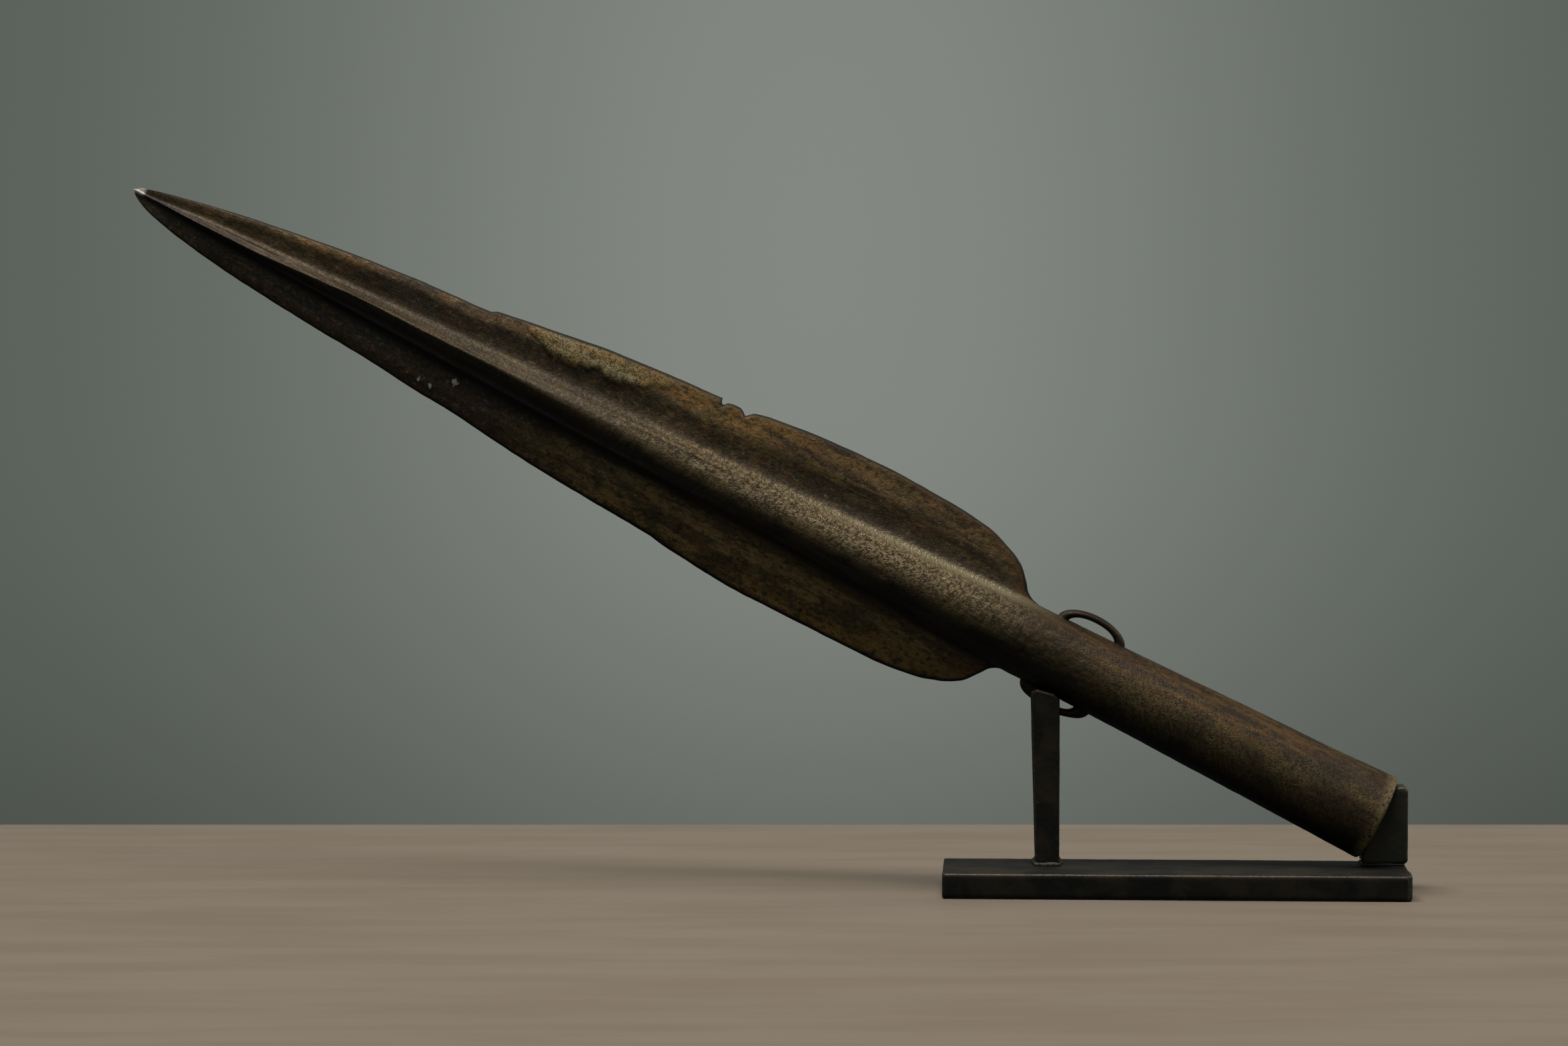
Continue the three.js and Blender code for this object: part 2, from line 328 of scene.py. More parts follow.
class Graph:
    """The node tree of one finish."""

    def __init__(self, name: str) -> None:
        """Makes an empty material with one Principled shader."""
        self.material = bpy.data.materials.new(name)
        self.material.use_nodes = True
        self.tree = self.material.node_tree
        self.tree.nodes.clear()
        self.shader = self.tree.nodes.new("ShaderNodeBsdfPrincipled")
        output = self.tree.nodes.new("ShaderNodeOutputMaterial")
        self.tree.links.new(self.shader.outputs[0], output.inputs["Surface"])

    def plug(self, socket: bpy.types.NodeSocket, value: Union[Value, Tint]) -> None:
        """Links a wire to a socket, or sets the socket to a number or colour."""
        if isinstance(value, Wire):
            self.tree.links.new(value.socket, socket)
        elif isinstance(value, tuple) and socket.type == "RGBA":
            socket.default_value = (*value, 1.0)
        else:
            socket.default_value = value

    def node(self, kind: str, settings: dict, inputs: dict, output: Union[int, str] = 0) -> Wire:
        """Adds any node that isn't arithmetic.

        Args:
            kind: The node's type.
            settings: Its properties, set first.
            inputs: Values or wires for its sockets, by name or number.
            output: The socket to hand back.

        Returns:
            That output as a wire.
        """
        made = self.tree.nodes.new(kind)
        for name, setting in settings.items():
            setattr(made, name, setting)
        for name, value in inputs.items():
            self.plug(made.inputs[name], value)
        return Wire(self, made.outputs[output])

    def math(self, operation: str, *values: Value) -> Wire:
        """One Math node."""
        return self.node("ShaderNodeMath", {"operation": operation}, dict(enumerate(values)))

    def stored(self, name: str) -> Wire:
        """A number kept on the mesh's vertices."""
        return self.node("ShaderNodeAttribute", {"attribute_name": name}, {}, "Fac")

    def stored_place(self, name: str) -> Wire:
        """A vector kept on the mesh's vertices."""
        return self.node("ShaderNodeAttribute", {"attribute_name": name}, {}, "Vector")

    def part(self, vector: Wire, axis: str) -> Wire:
        """One number of a vector."""
        return self.node("ShaderNodeSeparateXYZ", {}, {0: vector}, axis)

    def stretched(self, vector: Wire, factors: Colour) -> Wire:
        """A place with each axis multiplied by its own factor."""
        return self.node("ShaderNodeVectorMath", {"operation": "MULTIPLY"}, {0: vector, 1: factors})

    def away(self, place: Wire, point: Colour) -> Wire:
        """Distance of a place from a point."""
        return self.node("ShaderNodeVectorMath", {"operation": "DISTANCE"}, {0: place, 1: point}, "Value")

    def noise(self, place: Wire, size: float, detail: float = 2.0, warp: float = 0.0) -> Wire:
        """Cloudy noise from 0 to 1, with lumps of the given size."""
        inputs = {
            "Vector": place, "Scale": 1.0 / size, "Detail": detail, "Distortion": warp,
            "Roughness": NOISE_ROUGHNESS,
        }
        return self.node("ShaderNodeTexNoise", {}, inputs, "Fac")

    def millimetres(self) -> Wire:
        """The place on the piece, in millimetres."""
        place = self.node("ShaderNodeTexCoord", {}, {}, "Object")
        return self.stretched(place, (1 / MM, 1 / MM, 1 / MM))

    def cells(self, place: Wire, size: float) -> Wire:
        """Distance from the middle of the nearest of many scattered cells, in cell sizes."""
        return self.node("ShaderNodeTexVoronoi", {}, {"Vector": place, "Scale": 1.0 / size}, "Distance")

    def lay(self, amount: Value, under: Tint, over: Tint) -> Wire:
        """Lays one colour over another by an amount from 0 to 1."""
        settings = {"data_type": "RGBA", "blend_type": "MIX", "clamp_factor": True}
        inputs = {0: amount, 6: under, 7: over}
        return self.node("ShaderNodeMix", settings, inputs, 2)

    def relief(self, height: Wire, depth: float, strength: float = 1.0) -> Wire:
        """A Bump node for a height from 0 to 1 that is depth metres deep."""
        return self.node("ShaderNodeBump", {}, {"Height": height, "Distance": depth, "Strength": strength})

    def finish(self, inputs: dict) -> bpy.types.Material:
        """Plugs the shader's own sockets, by name, and hands the material back."""
        for name, value in inputs.items():
            self.plug(self.shader.inputs[name], value)
        return self.material


# ---- Finishes ---------------------------------------------------------------------------------------------


class BronzeField:
    """What every layer of the bronze's finish reads: the spearhead's masks, and noises of several sizes.

    Places along and across the spearhead are in millimetres.
    """

    def __init__(self, graph: Graph) -> None:
        """Reads the masks and sets up each noise once, for all the layers to share."""
        self.graph = graph
        self.place = graph.stored_place("strip")
        self.along, self.across = graph.part(self.place, "X"), graph.part(self.place, "Z")
        self.face = graph.part(self.place, "Y")
        self.front = 1.0 - self.face.rise(-0.1, 0.1)
        self.wing, self.bevel = graph.stored("wing"), graph.stored("bevel")
        self.crust, self.root_highlight = graph.stored("crust"), graph.stored("root_highlight")
        self.rib = 1.0 - self.wing
        self.low_side = 1.0 - self.across.rise(-2.0, 1.0)
        self.low_wing = self.low_side * self.wing * self.along.rise(90.0, 135.0)
        self.at_edge = self.bevel.rise(0.0, 0.45) * self.wing
        self.rim = self.bevel.rise(0.86, 0.97) * self.wing
        self.on_socket = self.along.rise(228.0, 250.0)
        # Painted highlight: a near-white spot on the upper side of the tip.
        self.tip_highlight = (1.0 - self.along.rise(1.8, 3.2)) * self.across.rise(-0.7, -0.2)
        self.clouds = graph.noise(self.place, 12.0, 4.0, 0.5)
        self.drawn = self._drawn_out(0.13, 2.0, 5.0, 0.3)
        self.patches = self._drawn_out(0.45, 5.0, 4.0, 0.7)
        self.mottle = self._drawn_out(0.5, 1.9, 5.0, 0.9)
        self.flecks = self._drawn_out(0.6, 0.95, 3.0, 0.4)
        self.grains = graph.noise(self.place, 0.85, 2.0, 0.2)
        self.sand = graph.noise(self.place, 0.42, 2.0)
        self.speckle_and_highlight = self._speckle_and_highlight()
        self.speckle = self._speckle()

    def _drawn_out(self, squeeze: float, size: float, detail: float, warp: float) -> Wire:
        """Noise whose lumps are longer along the spearhead, the more so the smaller squeeze is."""
        return self.graph.noise(self.graph.stretched(self.place, (squeeze, 1.0, 1.0)), size, detail, warp)

    def _speckle_and_highlight(self) -> Wire:
        """Where the golden speckle shows: the front of the midrib, the socket and a little of the wings; on
        the midrib it is partly a painted highlight.
        """
        ridge = (0.30 + self.along.rise(110.0, 185.0) * 0.70) * (1.0 - self.along.rise(214.0, 252.0))
        # Weighted onto the midrib's upper half, where the overhead light falls: partly a painted highlight.
        ridge = ridge * self.rib * (0.12 + self.across.rise(-3.0, 3.2) * 0.88)
        socket = self.along.rise(228.0, 262.0) * (0.35 + self.clouds.rise(0.4, 0.6) * 0.35)
        return ridge.either(socket).either(self.wing * 0.16)

    def _speckle(self) -> Wire:
        """Fine light and dark grains, drawn out around the socket and slanted by turning and rubbing it."""
        slanted = self.along + self.across * 0.55
        around = {0: slanted, 1: self.face * 0.25, 2: self.across * 0.3}
        turned = self.graph.noise(self.graph.node("ShaderNodeCombineXYZ", {}, around), 0.75, 3.0, 0.2)
        share = self.along.rise(232.0, 268.0) * 0.55
        texture = self.grains * (1.0 - share) + turned * share
        return (texture * 0.62 + self.sand * 0.38).rise(0.40, 0.60)


@dataclass(frozen=True)
class BronzePatina:
    """Dark handled patina over bronze, with golden speckle, brown edges, crust and a painted highlight at the
    tip.
    """

    brown_black: Colour = rgb(50, 39, 27)
    olive: Colour = rgb(102, 84, 52)
    charcoal: Colour = rgb(66, 62, 58)
    blue_black: Colour = rgb(50, 48, 60)
    dark_grain: Colour = rgb(74, 58, 34)
    gold_grain: Colour = rgb(160, 139, 100)
    golden: Colour = rgb(172, 128, 60)
    edge_brown: Colour = rgb(124, 88, 50)
    tan: Colour = rgb(166, 132, 80)
    green: Colour = rgb(78, 76, 44)
    socket_shade: Colour = rgb(16, 12, 9)
    rib_shade_brown: Colour = rgb(34, 27, 20)
    rib_shade_violet: Colour = rgb(52, 42, 48)
    rust: Colour = rgb(104, 68, 44)
    crust_pale: Colour = rgb(172, 156, 112)
    crust_dark: Colour = rgb(66, 52, 30)
    root_highlight_colour: Colour = rgb(182, 168, 134)
    rim_dark: Colour = rgb(24, 20, 15)
    tip_highlight_white: Colour = rgb(246, 240, 228)
    lime: Colour = rgb(240, 238, 228)
    bore_dark: Colour = rgb(28, 24, 18)

    def material(self, lime_spots: Sequence[tuple[float, float, float]]) -> bpy.types.Material:
        """Builds the patina from the places and masks that the spearhead keeps on its vertices.

        Args:
            lime_spots: Place along, place across and radius of each speck of lime on the front.

        Returns:
            The material.
        """
        graph = Graph("bronze_patina")
        at = BronzeField(graph)
        body = self._ground(at)
        for layers in (self._on_wing, self._on_rib, self._on_socket, self._crusted):
            body = layers(at, body)
        lime = self._lime_mask(at, lime_spots)
        # Painted highlight at the tip, laid as near-white colour.
        body = graph.lay(at.tip_highlight, body, self.tip_highlight_white)
        body = graph.lay(lime, body, self.lime)
        body = graph.lay(graph.stored("bore"), body, self.bore_dark)
        shine = 0.58 - at.speckle_and_highlight * at.speckle * 0.12 - at.tip_highlight * 0.25 + at.crust * 0.28 + at.rim * 0.25
        metal = (0.34 - at.crust * 0.32) * (1.0 - lime) * (1.0 - at.rim) * (1.0 - at.tip_highlight)
        height = at.flecks * 0.25 * at.wing + at.speckle * 0.5 * (0.25 + at.speckle_and_highlight * 0.75)
        return graph.finish({
            "Base Color": body,
            "Roughness": shine - at.root_highlight * 0.12 - at.clouds * 0.12,
            "Metallic": metal,
            "Normal": graph.relief(height + at.sand * 0.35 + at.mottle * 0.5, 0.13 * MM),
        })

    def _lime_mask(self, at: BronzeField, spots: Sequence[tuple[float, float, float]]) -> Wire:
        """Ragged specks of lime on the front."""
        graph = at.graph
        ragged = graph.noise(at.place, 0.7, 2.0) * 1.8 - 0.9
        flat = graph.stretched(at.place, (1.0, 0.0, 1.0))
        mask = 0.0
        for along, across, size in spots:
            away = graph.away(flat, (along, 0.0, across)) + ragged
            mask = (at.front * (1.0 - away.rise(0.6 * size, size))).either(mask)
        return mask

    def _ground(self, at: BronzeField) -> Wire:
        """The dark patina itself, bluer below near the tip and greyer in the upper wing's hollow."""
        lay = at.graph.lay
        body = lay((at.clouds * 0.45 + at.drawn * 0.55).rise(0.40, 0.60), self.brown_black, self.olive)
        purple = at.low_side * (1.0 - at.along.rise(95.0, 150.0)) * at.patches.rise(0.34, 0.54)
        body = lay(purple * 0.9, body, self.blue_black)
        hollow = at.across.rise(2.0, 6.0) * (1.0 - at.bevel.rise(0.0, 0.35)) * at.wing
        hollow = hollow * (1.0 - at.across.rise(10.0, 14.5) * 0.75)
        return lay(hollow * (0.2 + at.drawn * 0.9), body, self.charcoal)

    def _on_wing(self, at: BronzeField, body: Wire) -> Wire:
        """Brown edges, golden runs, and rust, green and gold flecks over the wings."""
        lay, along, across, wing = at.graph.lay, at.along, at.across, at.wing
        past_tip = 0.4 + along.rise(70.0, 115.0) * 0.6
        low_tip = at.low_side * (1.0 - along.rise(90.0, 150.0))
        edging = at.at_edge * past_tip * at.patches.rise(0.36, 0.6) * (1.0 - low_tip * 0.6)
        body = lay(edging, body, self.edge_brown)
        body = lay(at.low_wing * (0.2 + at.drawn.rise(0.45, 0.56) * 0.75), body, self.tan)
        mid_wing = across.rise(9.0, 13.0) * wing * along.rise(120.0, 150.0)
        body = lay(mid_wing * at.drawn.rise(0.44, 0.58) * 0.45, body, self.tan)
        body = lay(wing * at.mottle.rise(0.50, 0.64) * 0.85, body, self.rust)
        body = lay(wing * (1.0 - at.mottle.rise(0.32, 0.48)) * 0.7, body, self.green)
        upper_gold = along.hump(146.0, 42.0) * across.rise(0.0, 4.0)
        lower_gold = along.hump(200.0, 50.0) * at.low_side
        tip_gold = along.hump(42.0, 30.0) * across.rise(0.0, 2.0) * 0.4
        gold_run = (upper_gold + lower_gold + tip_gold) * (0.25 + at.at_edge * 0.75) * wing
        body = lay(gold_run * (at.mottle * 0.5 + at.flecks * 0.5).rise(0.40, 0.60), body, self.golden)
        body = lay(wing * at.flecks.rise(0.56, 0.70) * (0.6 + at.low_wing * 0.3), body, self.gold_grain)
        body = lay(wing * (1.0 - at.flecks.rise(0.32, 0.48)) * 0.85, body, self.brown_black)
        return lay(wing * (1.0 - at.patches.rise(0.34, 0.52)) * 0.6, body, self.brown_black)

    def _on_rib(self, at: BronzeField, body: Wire) -> Wire:
        """Golden speckle on the midrib, painted shade on its lower side, the scored lines and a painted
        highlight along its upper root.
        """
        lay, along = at.graph.lay, at.along
        near_tip = 1.0 - along.rise(120.0, 170.0)
        body = lay(at.rib * near_tip * (0.3 + at.drawn * 0.5), body, self.brown_black)
        body = lay(at.speckle_and_highlight * 0.85, body, lay(at.speckle, self.dark_grain, self.gold_grain))
        body = lay(at.wing * (1.0 - at.sand.rise(0.34, 0.5)) * 0.3, body, self.brown_black)
        # Painted shade on the lower half of the midrib, from mid blade on.
        lower_rib_shade = at.rib * (1.0 - at.across.rise(-4.5, 2.5)) * along.rise(90.0, 150.0)
        body = lay(lower_rib_shade * (1.0 - along.rise(232.0, 262.0)) * 0.32, body, self.brown_black)
        mottled = along.hump(242.0, 28.0) * (at.clouds * 0.4 + at.flecks * 0.6).rise(0.40, 0.56)
        body = lay(mottled * 0.7, body, self.brown_black)
        body = lay(at.graph.stored("scored") * 0.6, body, self.brown_black)
        # Painted shade below the midrib, in brown and violet, from the stored under mask.
        under = at.graph.stored("under") * (0.48 + at.patches.rise(0.34, 0.6) * 0.3)
        body = lay(under, body, lay(at.drawn.rise(0.4, 0.58), self.rib_shade_brown, self.rib_shade_violet))
        # Painted highlight: a pale band along the upper root of the midrib.
        return lay(at.root_highlight * 0.75, body, self.root_highlight_colour)

    def _on_socket(self, at: BronzeField, body: Wire) -> Wire:
        """Brown and golden streaks on the socket, painted shade on its lower side, pale mouth and dark loops.
        """
        lay, across = at.graph.lay, at.across
        body = lay(at.on_socket * across.rise(2.5, 7.0) * (0.62 + at.drawn * 0.4), body, self.brown_black)
        streaks = (at.drawn * 0.6 + at.flecks * 0.4).rise(0.46, 0.60)
        body = lay(at.on_socket * across.rise(1.0, 5.0) * streaks * 0.36, body, self.golden)
        body = lay(at.on_socket * 0.16, body, self.brown_black)
        rusty = at.on_socket * at.mottle.rise(0.50, 0.68) * (0.2 + across.rise(0.0, 6.0) * 0.4)
        body = lay(rusty, body, self.rust)
        # Painted shade: the socket's lower side laid near black.
        body = lay(at.on_socket * (1.0 - across.rise(-8.4, -1.6)) * 0.95, body, self.socket_shade)
        body = lay(at.along.rise(325.0, 328.0) * at.grains.rise(0.3, 0.5) * 0.7, body, self.gold_grain)
        return lay(at.graph.stored("strap") * 0.8, body, self.brown_black)

    def _crusted(self, at: BronzeField, body: Wire) -> Wire:
        """The pale veined crust, and the dark line of the blade's edge."""
        lay = at.graph.lay
        veins = at.graph.noise(at.place, 1.5, 2.0, 0.5).hump(0.5, 0.045)
        gaps = veins.either(1.0 - at.sand.rise(0.34, 0.50))
        crust = lay(at.patches.rise(0.45, 0.6) * 0.6, self.crust_pale, self.golden)
        body = lay(at.crust, body, lay(gaps * 0.92, crust, self.crust_dark))
        return lay(at.rim * 0.9, body, self.rim_dark)


@dataclass(frozen=True)
class StandSteel:
    """Blackened steel with slightly lighter edges, partly handling wear and partly a painted highlight, and
    some dust.
    """

    black: Colour = rgb(41, 41, 38)
    brown: Colour = rgb(67, 58, 49)
    worn: Colour = rgb(150, 138, 120)
    dust: Colour = rgb(120, 114, 104)

    def material(self, name: str) -> bpy.types.Material:
        """Builds the steel for one piece; the mesh keeps an edge mask."""
        graph = Graph(name)
        place = graph.millimetres()
        clouds = graph.noise(place, 9.0, 4.0, 0.5)
        fine = graph.noise(place, 0.6, 3.0)
        body = graph.lay(clouds.rise(0.4, 0.62), self.black, self.brown)
        edge = graph.stored("edge")
        # Pale edge colour: handling wear, plus a painted highlight on the edges facing the light.
        body = graph.lay(edge * fine.rise(0.20, 0.8) * 0.6, body, self.worn)
        specks = graph.cells(place, 5.0)
        body = graph.lay((1.0 - specks.rise(0.03, 0.07)) * 0.35, body, self.dust)
        return graph.finish({
            "Base Color": body,
            "Roughness": 0.56 - edge * 0.12 + clouds * 0.1,
            "Metallic": 0.55,
            "Normal": graph.relief(fine * 0.6 + clouds * 0.4, 0.08 * MM, 0.7),
        })


@dataclass(frozen=True)
class WeldBead:
    """Pale rough metal of a small weld."""

    pale: Colour = rgb(128, 122, 108)
    dark: Colour = rgb(58, 54, 48)

    def material(self, name: str, paleness: float) -> bpy.types.Material:
        """Builds the weld's finish, pale by an amount from 0 to 1."""
        graph = Graph(name)
        place = graph.millimetres()
        lumps = graph.noise(place, 0.9, 3.0)
        return graph.finish({
            "Base Color": graph.lay(lumps.rise(0.4, 0.6) * paleness, self.dark, self.pale),
            "Roughness": 0.5 + lumps * 0.2,
            "Metallic": 0.5,
            "Normal": graph.relief(lumps, 0.1 * MM),
        })


# ---- Spearhead --------------------------------------------------------------------------------------------


@dataclass
class SideLoop:
    """A thin cast strap that arches over the neck in the plane of the blade. Millimetres."""

    start: float
    end: float
    reach: float
    side: Side
    feet: tuple[float, float]
    thickness: float = 1.75
    width: float = 3.4
    fullness: float = 2.1
    steps: int = 56
    sides: int = 28

    def path(self, foot: float) -> np.ndarray:
        """The strap's middle line as (along, out) pairs: a full arch from one foot to the other."""
        crown = self.reach - self.thickness / 2
        turn = np.linspace(0.0, np.pi, self.steps + 1)
        cosine = np.cos(turn)
        share = 0.5 - 0.5 * np.sign(cosine) * np.abs(cosine) ** (2 / self.fullness)
        lift = np.abs(np.sin(turn)) ** (2 / self.fullness)
        return np.stack([self.start + share * (self.end - self.start), foot + (crown - foot) * lift], 1)

    def points(self, foot: float) -> tuple[np.ndarray, int]:
        """Rings of the strap in spear coordinates (along, face, width), and how many there are."""
        line = self.path(foot)
        heading = np.gradient(line, axis=0)
        heading /= np.linalg.norm(heading, axis=1, keepdims=True)
        outward = np.stack([-heading[:, 1], heading[:, 0]], 1)
        lift = (line[:, 1] - foot) / (self.reach - self.thickness / 2 - foot)
        first = np.arange(len(line)) < len(line) / 2
        flare = 1 + np.where(first, *self.feet) * (1 - rise(lift, 0.1, 0.95))
        turn = round_turn(self.sides)
        thick = flare[:, None] * self.thickness / 2 * np.cos(turn)
        wide = self.width / 2 * np.broadcast_to(np.sin(turn), thick.shape)
        along = line[:, 0, None] + outward[:, 0, None] * thick
        out = line[:, 1, None] + outward[:, 1, None] * thick
        rings = np.stack([along, wide, self.side * out], -1)
        ends = np.stack([rings[0].mean(0), rings[-1].mean(0)])
        return np.concatenate([rings.reshape(-1, 3), ends]), len(line)


@dataclass
class Spearhead:
    """The bronze casting: leaf-shaped blade, midrib, hollow socket and two side loops. Millimetres."""

    node: str = "spearhead"
    length: float = 328.5
    tilt: float = math.radians(26.72)
    neck: float = 233.5
    neck_radius: float = 8.75
    mouth_radius: float = 10.5
    wall: float = 1.9
    hollow_start: float = 128.0
    hollow_end_radius: float = 1.8
    ridge_end: float = 142.0
    ridge_fade: float = 70.0
    ridge_power: float = 0.7
    ridge_lift: float = 1.3
    edge_half: float = 0.24
    root_half: float = 1.12
    root_slope: float = 0.085
    foot_height: float = 1.65
    foot_reach: float = 1.9
    rib_swell: float = 0.75
    tip_radius: float = 0.35
    flare_power: float = 1.5
    edge_waver: tuple[float, float] = (0.05, 0.045)
    full_swell: float = 1.6
    bevel_fillet: float = 0.3
    crease_fillet: float = 0.9
    lower_bevel: float = 1.22
    score_depth: float = 0.2
    groove_depth: float = 0.14
    groove_inset: float = 7.0
    crust_height: float = 0.46
    shell_step: float = 1.3
    shell_height: float = 0.10
    lime_height: float = 0.7
    half_columns: int = 62
    rib_columns: float = 0.42
    bevel_columns: float = 0.15
    bore_rings: int = 46
    upper_edge: Knots = (
        (0, 0.12), (0.4, 0.55), (1.2, 0.95), (4, 1.7), (8, 2.6), (16, 4.2), (31.5, 6.8), (55, 9.75),
        (71, 11.2), (88.7, 12.15), (90.3, 12.9), (95, 13.6), (103, 14.7), (118, 16.7), (134, 17.9),
        (150, 18.75), (173.5, 20.95), (189, 21.5), (205, 20.9), (216, 19.8), (222.4, 17.8),
        (227.1, 15.4), (230.2, 12.2), (231.8, 10.2), (234, 9.1), (238, 8.4),
    )
    lower_edge: Knots = (
        (0, 0.12), (0.4, 0.7), (1.2, 1.35), (4, 2.7), (8, 3.9), (16, 5.6), (31.5, 7.85), (55, 9.95),
        (72, 11.3), (79, 12.1), (92, 13.2), (110, 15.3), (126, 16.6), (146, 17.9), (150, 18.6),
        (173.5, 20.35), (189, 20.35), (205, 20.3), (216, 19.35), (222.4, 17.6), (227.1, 15.2),
        (230.2, 11.6), (231.8, 9.6), (234, 8.7), (238, 8.2),
    )
    swell: Knots = ((0, 0.35), (20, 0.95), (50, 1.35), (90, 1.6), (240, 1.6))
    bevel_width: Knots = ((0, 0.8), (30, 2.4), (80, 3.4), (140, 5.6), (190, 5.8), (240, 5.0))
    crest_shift: Knots = (
        (0, -0.2), (31, -0.1), (47, 0.7), (63, 1.4), (94, 1.4), (112, 1.2), (130, 0.7), (152, 0.0),
    )
    crust_border: Knots = (
        (97.6, 12.9), (101.6, 11.4), (106.6, 9.6), (110.6, 9.3), (114.6, 10.4), (117.6, 11.7), (120.6, 10.9),
        (124.6, 11.2), (128.6, 12.6), (132.6, 14.3), (137.6, 16.4),
    )
    chips: Knots = (
        (147.0, 0.0), (147.3, 1.2), (147.9, 1.35), (148.6, 0.65), (150.2, 0.35), (151.6, 0.4), (152.8, 1.0),
        (153.6, 1.7), (154.3, 1.2), (155.3, 0.5), (157.0, 0.2), (159.0, 0.0),
    )
    loops: tuple[SideLoop, ...] = (
        SideLoop(241.6, 256.6, 12.75, Side.UPPER, feet=(0.5, 0.5)),
        SideLoop(242.1, 255.3, 12.4, Side.LOWER, feet=(2.3, 1.4)),
    )
    score_shares: tuple[float, ...] = (0.16, 0.38, 0.64)
    lime_spots: tuple[tuple[float, float, float], ...] = (
        (88.7, -6.4, 0.95), (80.6, -9.7, 0.5), (83.8, -9.9, 0.55), (77.6, -9.4, 0.4),
    )
    grain: Grain = field(default_factory=lambda: Grain(7))

    def build(self) -> bpy.types.Object:
        """Makes the whole casting as one closed mesh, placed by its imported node, and keeps its masks."""
        body = self._body()
        loops = [self._loop(loop) for loop in self.loops]
        for loop in loops:
            union = body.modifiers.new("cast_on", "BOOLEAN")
            union.operation, union.solver, union.object = "UNION", "EXACT", loop
        apply_modifiers(body)
        for loop in loops:
            bpy.data.objects.remove(loop)
        body.data.shade_smooth()
        strip = read_points(body.data)
        self._keep_masks(body.data, strip)
        write_points(body.data, self._placed(strip))
        body.data.materials.clear()
        body.data.materials.append(BronzePatina().material(self.lime_spots))
        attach(body, BODY)
        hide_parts(self.node)
        return body

    # -- outline and section --

    def radius(self, along: np.ndarray) -> np.ndarray:
        """Half width of the midrib, which runs on as the socket."""
        cone = self.neck_radius * along / self.neck
        cone = cone + self.rib_swell * rise(along, 0, 25) * (1 - rise(along, 105, 175))
        flare = np.clip((along - self.neck) / (self.length - self.neck), 0, 1)
        socket = self.neck_radius + (self.mouth_radius - self.neck_radius) * flare**self.flare_power
        nose = self.tip_radius * rise(along, -0.3, 0.8)
        return np.where(along < self.neck, np.maximum(cone, nose), socket)

    def sharpness(self, along: np.ndarray) -> np.ndarray:
        """How far the midrib is drawn out to a ridge: 1 near the tip, 0 past mid blade."""
        return 1 - rise(along, self.ridge_end - self.ridge_fade, self.ridge_end)

    def width(self, along: np.ndarray, side: Side) -> np.ndarray:
        """Distance from the axis to one unchipped edge."""
        wander = np.stack([along, np.full_like(along, 3.0 * side), np.zeros_like(along)], -1)
        broad, narrow = self.edge_waver
        uneven = broad * self.grain.at(wander, 9.0) + narrow * self.grain.at(wander, 2.3)
        on_blade = rise(along, 3, 15) * (1 - rise(along, self.neck - 4, self.neck + 3))
        return np.maximum(through(self._edge(side), along) + uneven * on_blade, self.radius(along))

    def _edge(self, side: Side) -> Knots:
        """Outline of one edge."""
        return self.upper_edge if side is Side.UPPER else self.lower_edge

    def bitten(self, along: np.ndarray) -> np.ndarray:
        """Depth of the chips out of the upper edge."""
        return through(self.chips, along) * ((along > self.chips[0][0]) & (along < self.chips[-1][0]))

    def section(self, along: np.ndarray, across: np.ndarray) -> np.ndarray:
        """Half thickness of the spearhead.

        Args:
            along: Distance from the tip.
            across: Distance from the axis in the plane of the blade, positive towards the upper edge.

        Returns:
            The half thickness at each place.
        """
        radius, sharp = self.radius(along), self.sharpness(along)
        shift = through(self.crest_shift, along) * np.clip(radius / 2.0, 0, 1)
        reach = np.where(across > shift, radius - shift, radius + shift)
        share = np.clip(np.abs(across - shift) / reach, 0, 1)
        power = 2 / (1 + self.ridge_power * sharp)
        lift = self.ridge_lift * sharp * rise(along, 0, 14)
        midrib = (radius + lift) * (1 - share**power) ** (1 / power)
        wing_width, inset = self._edge_distance(along, across)
        rising = through(self.swell, along) - self.edge_half
        bevel = self.edge_half + rising * inset / self._bevel(along, across)
        slim = np.clip(through(self.swell, along) / self.full_swell, 0.2, 1)
        past_root = np.maximum(np.abs(across) - radius, 0)
        root = self.root_half * (0.45 + 0.55 * rise(along, 40, 150)) * slim + self.root_slope * past_root
        wing = -smooth_max(-root, -bevel, self.bevel_fillet)
        spread = np.clip(radius / 7.0, 0.25, 1)
        climb = np.maximum(np.abs(across) - radius, -0.25 * radius)
        foot = self.foot_height * spread * np.exp(-climb / (self.foot_reach * spread))
        foot = foot * np.clip(inset / 3.0, 0, 1)
        full = smooth_max(midrib, wing + foot, self.crease_fillet * spread)
        round_bar = np.sqrt(np.maximum(radius**2 - across**2, 0))
        return round_bar + (full - round_bar) * rise(wing_width, 0.0, 1.2)

    def _edge_distance(self, along: np.ndarray, across: np.ndarray) -> tuple[np.ndarray, np.ndarray]:
        """Width of the wing past the midrib, and how far each place is from the wing's edge."""
        step = 0.5
        widths, slopes = [], []
        for side in Side:
            ahead, behind = (through(self._edge(side), along + shift) for shift in (step, -step))
            widths.append(self.width(along, side))
            slopes.append((ahead - behind) / (2 * step))
        edge = np.where(across > 0, *widths)
        slope = np.where(across > 0, *slopes)
        inset = np.maximum(edge - np.abs(across), 0) / np.sqrt(1 + slope**2)
        return edge - self.radius(along), inset

    def _bevel(self, along: np.ndarray, across: np.ndarray) -> np.ndarray:
        """Width of the edge bevel, which is wider on the lower wing."""
        return through(self.bevel_width, along) * np.where(across > 0, 1.0, self.lower_bevel)

    # -- mesh --

